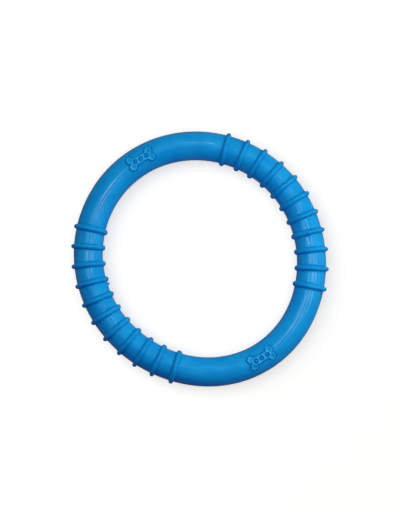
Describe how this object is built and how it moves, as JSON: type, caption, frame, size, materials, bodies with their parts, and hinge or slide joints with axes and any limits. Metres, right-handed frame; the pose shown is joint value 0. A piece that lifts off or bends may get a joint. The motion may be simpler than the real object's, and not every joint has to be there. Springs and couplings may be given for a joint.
{
  "type": "ribbed rubber fetch ring",
  "caption": "Blue ribbed rubber ring for fetching and tugging: a round hollow tube in two bonded half shells, with bone-shaped pads on the smooth arcs.",
  "frame": {"origin": "centre of the ring, on the level of the seam between its two halves", "axes": "+Z along the ring's axis, out of the face with the bone pads; +X through the middle of one group of ribs; +Y through the middle of one smooth arc"},
  "size_m": [0.2508, 0.2564, 0.0334],
  "materials": {
    "blue_rubber": "satin moulded natural rubber with a soft, slightly mottled sheen",
    "seam_cement": "cured rubber cement, hidden inside the seam"
  },
  "bodies": {
    "root": {"upper_shell": "blue_rubber", "lower_shell": "blue_rubber", "outer_seam_cement": "seam_cement", "inner_seam_cement": "seam_cement"}
  },
  "joints": []
}
